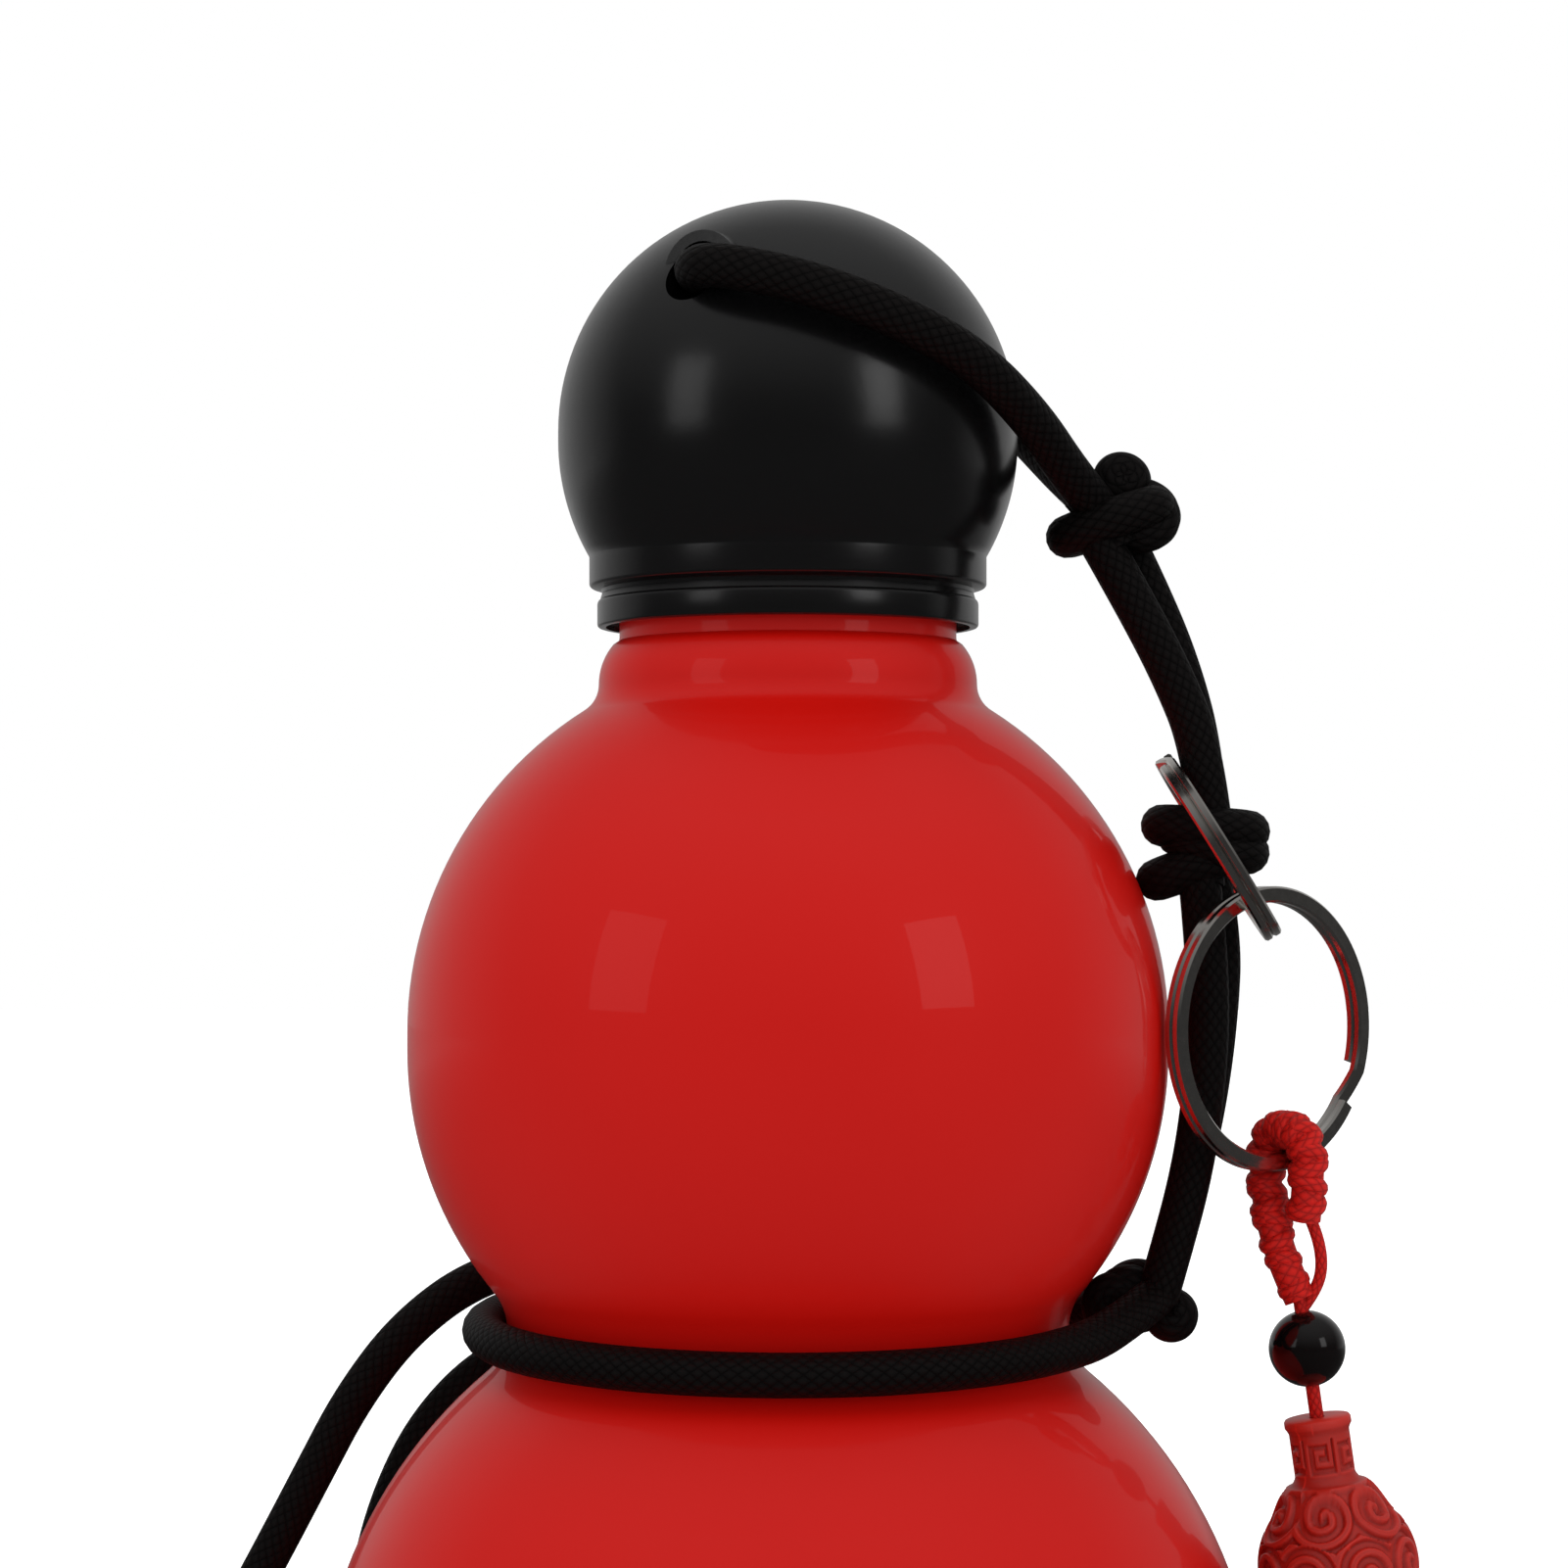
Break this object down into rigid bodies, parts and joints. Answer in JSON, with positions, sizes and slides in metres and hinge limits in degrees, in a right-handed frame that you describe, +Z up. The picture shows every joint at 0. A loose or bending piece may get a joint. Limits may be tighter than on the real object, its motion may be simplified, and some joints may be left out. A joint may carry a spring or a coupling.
{
  "type": "gourd water bottle",
  "caption": "Gourd-shaped insulated bottle with a ball-shaped screw cap, braided carrying cord knotted through the cap and round the waist, split rings and a bead pendant.",
  "frame": {"origin": "centre of the base, on the surface the bottle stands on", "axes": "+Z up along the bottle's axis, +X towards the tether and pendant, -Y towards the picture's viewer"},
  "size_m": [0.1627, 0.157, 0.2065],
  "materials": {
    "red_lacquer": "gloss",
    "steel": "satin",
    "pad_rubber": "matte",
    "seal_rubber": "matte",
    "gasket_silicone": "matte",
    "cap_black": "satin",
    "foam": "matte",
    "black_cord": "woven",
    "red_cord": "woven",
    "ring_steel": "polished",
    "bead_black": "polished",
    "carved_lacquer": "satin"
  },
  "bodies": {
    "bottle": {"outer_shell": "red_lacquer", "inner_liner": "steel", "base_plate": "steel", "base_pad": "pad_rubber", "vacuum_seal": "seal_rubber", "getter": "steel", "cap_loop": "black_cord", "cap_knot": "black_cord", "tether_upper_front": "black_cord", "tether_upper_back": "black_cord", "ring_knot": "black_cord", "tether_lower_front": "black_cord", "tether_lower_back": "black_cord", "waist_knot": "black_cord", "waist_wrap": "black_cord", "strap_knot": "black_cord", "strap_front": "black_cord", "strap_coil": "black_cord", "strap_back": "black_cord", "coil_tie": "black_cord"},
    "cap_seal": {"cap_gasket": "gasket_silicone"},
    "cap": {"cap_ball": "cap_black", "cap_insert": "cap_black", "cap_foam": "foam"},
    "ring_upper": {"split_ring_upper": "ring_steel"},
    "ring_lower": {"split_ring_lower": "ring_steel"},
    "pendant": {"pendant_braid": "red_cord", "pendant_strand": "red_cord", "pendant_cord": "red_cord", "stop_knot": "red_cord"},
    "black_bead_body": {"black_bead": "bead_black"},
    "carved_bead_body": {"carved_bead": "carved_lacquer"}
  },
  "joints": [
    {"name": "cap_rise", "type": "slide", "parent": "bottle", "child": "cap_seal", "axis": [0, 0, 1], "range_m": [0, 0.008], "deforming": ["cap_loop"]},
    {"name": "cap_turn", "type": "hinge", "parent": "cap_seal", "child": "cap", "pos_m": [0, 0, 0.17], "axis": [0, 0, 1], "range_deg": [0, 720], "deforming": ["cap_loop"]},
    {"name": "ring_upper_swing", "type": "hinge", "parent": "bottle", "child": "ring_upper", "pos_m": [0.04021, 0, 0.14686], "axis": [0, -1, 0], "range_deg": [0, 15]},
    {"name": "ring_lower_swing", "type": "hinge", "parent": "ring_upper", "child": "ring_lower", "pos_m": [0.0482, -0.0063, 0.1312], "axis": [0, -1, 0], "range_deg": [0, 20]},
    {"name": "pendant_swing", "type": "hinge", "parent": "ring_lower", "child": "pendant", "pos_m": [0.05292, -0.00093, 0.10486], "axis": [-0.7442, -0.6401, -0.1908], "range_deg": [0, 30]},
    {"name": "black_bead_spin", "type": "hinge", "parent": "pendant", "child": "black_bead_body", "pos_m": [0.05508, -0.00093, 0.08481], "axis": [-0.1426, 0, 0.9898], "continuous": true},
    {"name": "carved_bead_spin", "type": "hinge", "parent": "pendant", "child": "carved_bead_body", "pos_m": [0.05613, -0.00093, 0.07755], "axis": [-0.1426, 0, 0.9898], "continuous": true}
  ],
  "couplings": [
    {"joint": "cap_rise", "follows": "cap_turn", "m_per_rad": 0.0006366}
  ]
}
